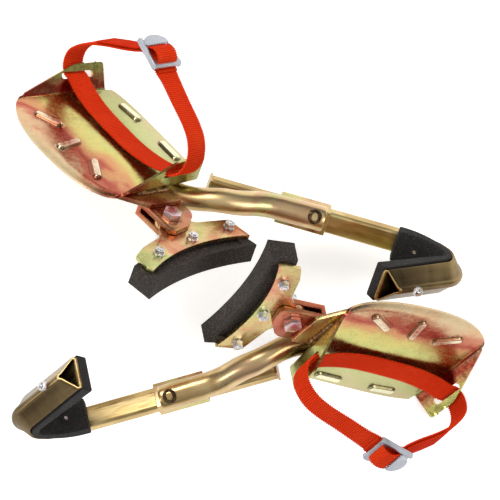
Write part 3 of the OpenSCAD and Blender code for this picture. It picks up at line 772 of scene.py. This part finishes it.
def hook_lining(side):
    """Rubber inside the V: thinner where it is bent, narrower where it starts, with soft edges."""
    path, _, knee_last = hook_route(LINING_FROM)
    half, last = LINING_W / 2, len(path) - 1
    leg_from = last - max(1, round(LEG_2 / 3))
    verts, across, rings = [], [], 0
    # Each end has two rings, one of them smaller, for a soft edge: how much smaller, how far along
    ends = {0: [(0.5, 0.0), (0.0, 0.6)], last: [(0.0, -0.6), (0.5, 0.0)]}
    for i, s in enumerate(path):
        thin = min(i / knee_last, 1) if i < leg_from else (last - i) / (last - leg_from)
        depth = LINING_T + (LINING_BEND_T - LINING_T) * thin
        widened = (s[0] - LINING_FROM + 1) / (LINING_TAPER_L + 1)
        low = -half
        if i <= knee_last + 2:
            low = max(-LINING_START_W / 2 - (half + 1 - LINING_START_W / 2) * widened, -half)
        a = radians(s[2])
        for shrink, move in ends.get(i, [(0.0, 0.0)]):
            for n, z in lining_ring(depth, low, half):
                n2 = -depth / 2 + (n + depth / 2) * (1 - shrink / depth)
                z2 = z - shrink * (1 if z > (low + half) / 2 else -1)
                verts.append((s[0] + move * cos(a) - n2 * sin(a), s[1] + move * sin(a) + n2 * cos(a), z2))
                across.append(n2)
            rings += 1
    obj = piece("hook_lining_rubber", verts, capped_faces(rings, 20), side, "hook", "lining",
                ON_SLIDE, ["hook_lining"], vectors={"across": across})
    outward(obj)
    lining_screw(side)


def lining_screw(side):
    """A small screw in the lining's face by the knee, in a seat pressed into the rubber."""
    turned = Matrix.Rotation(radians(-17), 4, "Z") @ Matrix.Rotation(radians(90), 4, "X")
    at = Matrix.Translation(LINING_SCREW_AT) @ turned
    for name, mat, slot, profile in (
            ("lining_screw_seat", "lining", "rubber", [(4.2, -0.4), (4.0, 0.25), (3.0, 0.35)]),
            ("lining_screw_head", "nut", "steel", [(1.5, -0.4), (1.5, 0.45), (1.2, 0.6)])):
        turns = [2 * pi * k / 24 for k in range(24)]
        verts = [(r * cos(a), r * sin(a), h) for r, h in profile for a in turns]
        outward(piece(name, verts, capped_faces(len(profile), 24), side, "hook", mat, ON_SLIDE @ at,
                      smooth=False))


# ---- Arm tube ----
def tube_z(d):
    """Height at a length along the tube: it climbs past the plate's edge, then runs nearly level."""
    share = min(max((d - TUBE_CLIMB_FROM) / TUBE_CLIMB_L, 0), 1)
    past = max(d - TUBE_CLIMB_FROM - TUBE_CLIMB_L, 0)
    return TUBE_CLIMB * (1 - cos(pi * share)) / 2 + tan(radians(TUBE_RISE)) * past


def arm_path():
    """The tube's centre line seen from above the plate, the length to each point, and its place."""
    start = (0, 0, 0)
    path = [start] + run(start, TUBE_RUN_IN, 3)
    path += turn(path[-1], TUBE_BEND_R, TUBE_TURN_OUT, 2.5)
    path += turn(path[-1], TUBE_BEND_R, -TUBE_TURN_BACK, 2.5)
    path += run(path[-1], TUBE_RUN_OUT, 3)
    place = Matrix.Translation(TUBE_START) @ Matrix.Rotation(radians(TUBE_HEADING), 4, "Z")
    length = [0.0]
    for a, b in zip(path, path[1:]):
        length.append(length[-1] + hypot(b[0] - a[0], b[1] - a[1]))
    return path, length, place


def arm_path_end():
    path, length, place = arm_path()
    return place @ Vector((path[-1][0], path[-1][1], tube_z(length[-1])))


def arm_tube(side):
    path, length, place = arm_path()
    per, rim, last, verts, along, rings = 48, 0.5, len(path) - 1, [], [], 0

    def add(i, r, back):
        s, a = path[i], radians(path[i][2])
        x, y, z = s[0] - back * cos(a), s[1] - back * sin(a), tube_z(length[i])
        for k in range(per):
            b = 2 * pi * k / per
            verts.append((x - r * sin(b) * sin(a), y + r * sin(b) * cos(a), z + r * cos(b)))
            along.append((length[i] * MM, 0.01 * sin(b), 0.01 * cos(b)))

    inner = TUBE_R - TUBE_WALL
    for i in range(last + 1):
        add(i, TUBE_R, rim if i == last else -rim if i == 0 else 0)
        rings += 1
    for r, i, back in ((TUBE_R - rim, last, 0), (inner + rim, last, 0)):
        add(i, r, back)
        rings += 1
    for i in range(last, -1, -1):
        add(i, inner, rim if i == last else -rim if i == 0 else 0)
        rings += 1
    for r in (inner + rim, TUBE_R - rim):
        add(0, r, 0)
        rings += 1
    obj = piece("arm_tube_bent", verts, torus_faces(rings, per), side, "climber", "tube", place,
                ["arm_tube"], vectors={"along": along})
    return outward(obj)


# ---- Weld beads ----
def weld_bead(name, side, points, radius, seed, replaces=(), squash=0.75, mat="weld"):
    """A rippled bead along a path, with its ends closed and its skin uneven."""
    curve, gap = evenly(catmull([Vector(p) for p in points], 12), 0.5)
    per, verts, n = 20, [], len(curve)
    up = Vector((0, 0, 1))
    for i, p in enumerate(curve):
        ahead = (curve[min(i + 1, n - 1)] - curve[max(i - 1, 0)]).normalized()
        out = ahead.cross(up).normalized()
        top = out.cross(ahead)
        d = i * gap
        end = min(d, (n - 1) * gap - d)
        swell = radius * min(1.0, (0.15 + end / radius) ** 0.5)
        swell *= 1 + 0.10 * abs(sin(pi * d / 3.1 + seed)) + 0.14 * noise.noise(Vector((d * 0.28, seed, 0)))
        for k in range(per):
            a = 2 * pi * k / per
            wob = 1 + 0.10 * noise.noise(Vector((d * 0.9, 3 * cos(a) + seed, 3 * sin(a))))
            verts.append(p + out * (swell * wob * cos(a)) + top * (swell * squash * wob * sin(a)))
    obj = piece(name, verts, capped_faces(n, per), side, "climber", mat, replaces=replaces)
    return outward(obj)


FLANGE_WELD = [(-33.2, -17, -2.6), (-33, -6, -2.4), (-33.3, 6, -2.7), (-33, 20, -2.5)]


def welds(side):
    """Beads at the flange's foot, under the tube and beside the sleeve, and a burnt ring on the tube."""
    weld_bead("flange_weld", side, FLANGE_WELD, 3.4, 1.3, ["plate_welds"])
    heading = Vector((cos(radians(TUBE_HEADING)), sin(radians(TUBE_HEADING)), 0))
    foot = Vector((TUBE_START[0], TUBE_START[1], (TUBE_START[2] + TUBE_R - SHEET_T) / 2))
    weld_bead("saddle_weld", side, [foot + heading * d for d in (2, 10, 18, 28)], 3.0, 2.2, squash=0.95)
    seam = [ON_SLIDE @ Vector((x, SEAM_Y, SEAM_Z)) for x in (-18, -6, 6, 18.4)]
    weld_bead("seam_weld", side, seam, 2.5, 3.3, squash=0.95)
    along = Vector((cos(radians(SLIDE_TURN)), sin(radians(SLIDE_TURN)), 0))
    out = Vector((0.67, -0.547, 0.505))
    centre, ring = Vector(arm_path_end()) - 9.5 * along, []
    for k in range(14):
        a = 2 * pi * k / 12.6
        ring.append(centre + along * 4.4 * cos(a) + Quaternion(along, 0.5 * sin(a)) @ out * TUBE_R)
    weld_bead("sleeve_weld", side, ring, 1.7, 4.1, mat="burnt")


# ---- Webbing ----
ON_BUCKLE = Matrix.Translation(BUCKLE_AT) @ Matrix.Rotation(radians(BUCKLE_DIP), 4, "Y")


def band(name, side, route, width, thick, closed, mat="webbing", replaces=(), phase=0.0):
    """A woven band along a route with a twist, ribbed across and scalloped along its edges."""
    curve, gap = evenly(catmull([Vector(r) for r in route], 10, closed), RIB / 5, closed)
    n, verts, weave, per = len(curve), [], [], 28
    for i, q in enumerate(curve):
        p = q.to_3d()
        after = (i + 1) % n if closed else min(i + 1, n - 1)
        ahead = (curve[after] - curve[i - 1 if closed or i else 0]).to_3d()
        ahead.y = 0
        ahead.normalize()
        normal, d = Vector((-ahead.z, 0, ahead.x)), i * gap
        out = Quaternion(ahead, radians(-q[3])) @ Vector((0, 1, 0))
        normal = Quaternion(ahead, radians(-q[3])) @ normal
        rib = cos(2 * pi * d / RIB + phase)
        half = width / 2 - SCALLOP + SCALLOP * rib
        sag = 0.35 * noise.noise(Vector((d * 0.03, phase, 0)))
        for k in range(per):
            a = 2 * pi * (k + 0.5) / per
            y, h = half * spow(cos(a), 0.42), (thick / 2 + 0.17 * rib - 0.05) * spow(sin(a), 0.35)
            verts.append(p + normal * (h + sag * (y / half) ** 2) + out * (y + 0.5 * sag))
            weave.append((y, d, h))
    faces = torus_faces(n, per) if closed else capped_faces(n, per)
    obj = piece(name, verts, faces, side, "climber", mat, replaces=replaces,
                vectors={"weave": weave})
    outward(obj)
    length = gap * (n if closed else n - 1)
    return obj, length


def strap(side):
    """The webbing's loop through both slots, and the loose tail doubled over it at the buckle."""
    held, bulge = ([(*(ON_BUCKLE @ Vector((x, 0, z))), 0) for x, z in part]
                   for part in (STRAP_BUCKLE, TAIL_BUCKLE))
    route = STRAP_UP + held + STRAP_DOWN + STRAP_UNDER
    loop, length = band("strap_webbing_loop", side, route, STRAP_W, STRAP_T, True,
                        replaces=["strap_webbing"])
    tail, length = band("strap_webbing_tail", side, bulge + STRAP_TAIL, TAIL_W, TAIL_T, False, phase=1.7)


# ---- Buckle, in its own frame: x along the webbing, y across, z up from it ----
def prism(outline, lo, hi, axis):
    """Corners and faces of an outline pushed from lo to hi along an axis."""
    at = {"y": lambda p, h: (p[0], h, p[1]), "z": lambda p, h: (p[0], p[1], h)}[axis]
    return [at(p, h) for h in (lo, hi) for p in outline], capped_faces(2, len(outline))


def solids(name, side, parts, mat, place, replaces=(), width=0.4):
    verts, faces = [], []
    for v, f in parts:
        faces += [tuple(i + len(verts) for i in face) for face in f]
        verts += v
    obj = outward(piece(name, verts, faces, side, "climber", mat, place, replaces))
    return bevel(obj, width, 3, 30)


def box_outline(x0, x1, y0, y1):
    return [(x0, y0), (x1, y0), (x1, y1), (x0, y1)]


def buckle(side):
    """Two side rails, two cross bars, and the cam plate whose teeth grip the webbing."""
    half, end = STRAP_W / 2 + 0.9, BUCKLE_L / 2
    rail = rounded(box_outline(-end, end, -1.8, 4.2), [2.2, 2.6, 2.6, 2.2], 4)
    far_rail = rounded(box_outline(-end + 9, end, -1.8, 3.2), [2.2, 2.4, 2.4, 2.2], 4)
    rails = [prism(rail, -half - RAIL_T, -half, "y"), prism(far_rail, half, half + RAIL_T, "y")]
    solids("buckle_side_rails", side, rails, "buckle", ON_BUCKLE, ["buckle_frame"])
    lower = rounded(box_outline(end - LOWER_BAR_W, end + 0.2, -half - 1, half + 3), [0, 0, 3.9, 3.9], 5)
    upper = rounded(box_outline(-end + 1, -end + 4, -half - 1, half + 1), [0] * 4)
    bars = [prism(lower, 1.6, 3.8, "z"), prism(upper, -1.4, 0.6, "z")]
    solids("buckle_bars", side, bars, "buckle", ON_BUCKLE, width=0.6)
    arc = [(CAM_X - CAM_R * sin(radians(a)), -0.6 + (half + 0.6) * cos(radians(a)))
           for a in range(0, 181, 9)]
    teeth, tip = [], CAM_X + TOOTH_L
    for k in range(TEETH):
        y = -half + 1.9 + (2 * half - 3.8) * k / (TEETH - 1)
        teeth += [(CAM_X, y - 0.9), (tip, y - 0.45), (tip, y + 0.45), (CAM_X, y + 0.9)]
    tilt = ON_BUCKLE @ Matrix.Translation((0, 0, 5.2)) @ Matrix.Rotation(radians(CAM_TILT), 4, "Y")
    solids("buckle_cam_plate", side, [prism(arc + teeth, -0.9, 0.9, "z")], "buckle", tilt,
           ["buckle_tongue"], 0.5)


# ---- Carried-over CAD nodes: material and edge rounding ----
NODE_LOOKS = {
    "clevis_gusset": ("gusset", 0.8), "slide_sleeve": ("sleeve", 0.7), "clevis": ("clevis", 1.1),
    "pivot_bolt": ("bolt", 0.5), "pivot_nut": ("nut", 0.5), "pad_bracket": ("bracket", 0.6),
    "pad_rubber": ("pad", 1.8), "pad_bolts": ("nut", 0.3), "pad_nuts": ("nut", 0.3),
    "tail_stop": ("sleeve", 0.3), "hook_bolts": ("nut", 0.3), "hook_nuts": ("nut", 0.3),
}


def dress_nodes(side):
    for part, (mat, width) in NODE_LOOKS.items():
        node = NODES[f"{side}_{part}"]
        node.data.materials.clear()
        node.data.materials.append(MATS[mat])
        node.pass_index = SIDES.index(side)
        node.modifiers.new("weld", "WELD").merge_threshold = 1e-6
        flat = node.modifiers.new("flat", "DECIMATE")
        flat.decimate_type, flat.angle_limit = "DISSOLVE", radians(0.5)
        bevel(node, width, 3, 30)


for side in SIDES:
    foot_plate(side)
    hook_bar(side)
    hook_lining(side)
    arm_tube(side)
    welds(side)
    buckle(side)
    strap(side)
    dress_nodes(side)


# ---- Stage, lights and camera, in metres and watts ----
FLOOR_REACH, FLOOR_GLOW, SKY_LEVEL = 6.0, 0.5, 0.66
CAMERA_AT, CAMERA_SPAN = (0.0012, 0.00325, 1.5), 0.4348
LIGHTS = {
    "key": ((-0.5, 0.9, 1.2), (0, 0, 0.1), (0.7, 0.5), 14),
    "fill": ((0.9, -0.3, 0.9), (0, 0, 0.1), (0.5, 0.8), 6),
    "strip": ((-0.9, -0.5, 0.5), (0, 0, 0.12), (0.15, 0.9), 4),
}


def stage():
    mesh = bpy.data.meshes.new("floor")
    far = FLOOR_REACH
    mesh.from_pydata([(-far, -far, 0), (far, -far, 0), (far, far, 0), (-far, far, 0)], [], [(0, 1, 2, 3)])
    floor = bpy.data.objects.new("floor", mesh)
    bpy.context.scene.collection.objects.link(floor)
    m = Mat("pale_floor")
    grain = m.noise(m.coords(), 40.0, 3.0)
    m.set(Base_Color=m.mix(grain, (0.86, 0.86, 0.86), (0.90, 0.90, 0.89)), Roughness=0.75)
    m.shader.inputs["Emission Color"].default_value = (1, 1, 1, 1)
    m.shader.inputs["Emission Strength"].default_value = FLOOR_GLOW
    m.shader.inputs["Specular IOR Level"].default_value = 0.2
    mesh.materials.append(m.mat)


def area_light(name, place, aim, size, power):
    data = bpy.data.lights.new(name, "AREA")
    data.shape, data.size, data.size_y = "RECTANGLE", *size
    data.energy = power
    lamp = bpy.data.objects.new(name, data)
    lamp.location = place
    lamp.rotation_mode = "QUATERNION"
    lamp.rotation_quaternion = (Vector(aim) - Vector(place)).to_track_quat("-Z", "Y")
    bpy.context.scene.collection.objects.link(lamp)


def sky():
    """A studio's surroundings: bright above, with darker sides for the metal to reflect."""
    world = bpy.data.worlds.new("studio")
    world.use_nodes = True
    tree = world.node_tree
    place = tree.nodes.new("ShaderNodeTexCoord")
    split = tree.nodes.new("ShaderNodeSeparateXYZ")
    ramp = tree.nodes.new("ShaderNodeValToRGB")
    tree.links.new(place.outputs["Generated"], split.inputs[0])
    tree.links.new(split.outputs["Z"], ramp.inputs[0])
    stops = [(0.0, 0.35), (0.18, 0.16), (0.45, 0.55), (0.75, 0.95), (1.0, 1.0)]
    while len(ramp.color_ramp.elements) < len(stops):
        ramp.color_ramp.elements.new(0.5)
    for e, (at, level) in zip(ramp.color_ramp.elements, stops):
        e.position, e.color = at, (level, level, level * 1.01, 1)
    back = tree.nodes["Background"]
    tree.links.new(ramp.outputs[0], back.inputs[0])
    back.inputs["Strength"].default_value = SKY_LEVEL
    bpy.context.scene.world = world


def camera():
    data = bpy.data.cameras.new("camera")
    data.type = "ORTHO"
    data.ortho_scale = CAMERA_SPAN
    cam = bpy.data.objects.new("camera", data)
    cam.location = CAMERA_AT
    bpy.context.scene.collection.objects.link(cam)
    bpy.context.scene.camera = cam


stage()
sky()
for light, setting in LIGHTS.items():
    area_light(light, *setting)
camera()
view = bpy.context.scene.view_settings
view.view_transform = "Standard"
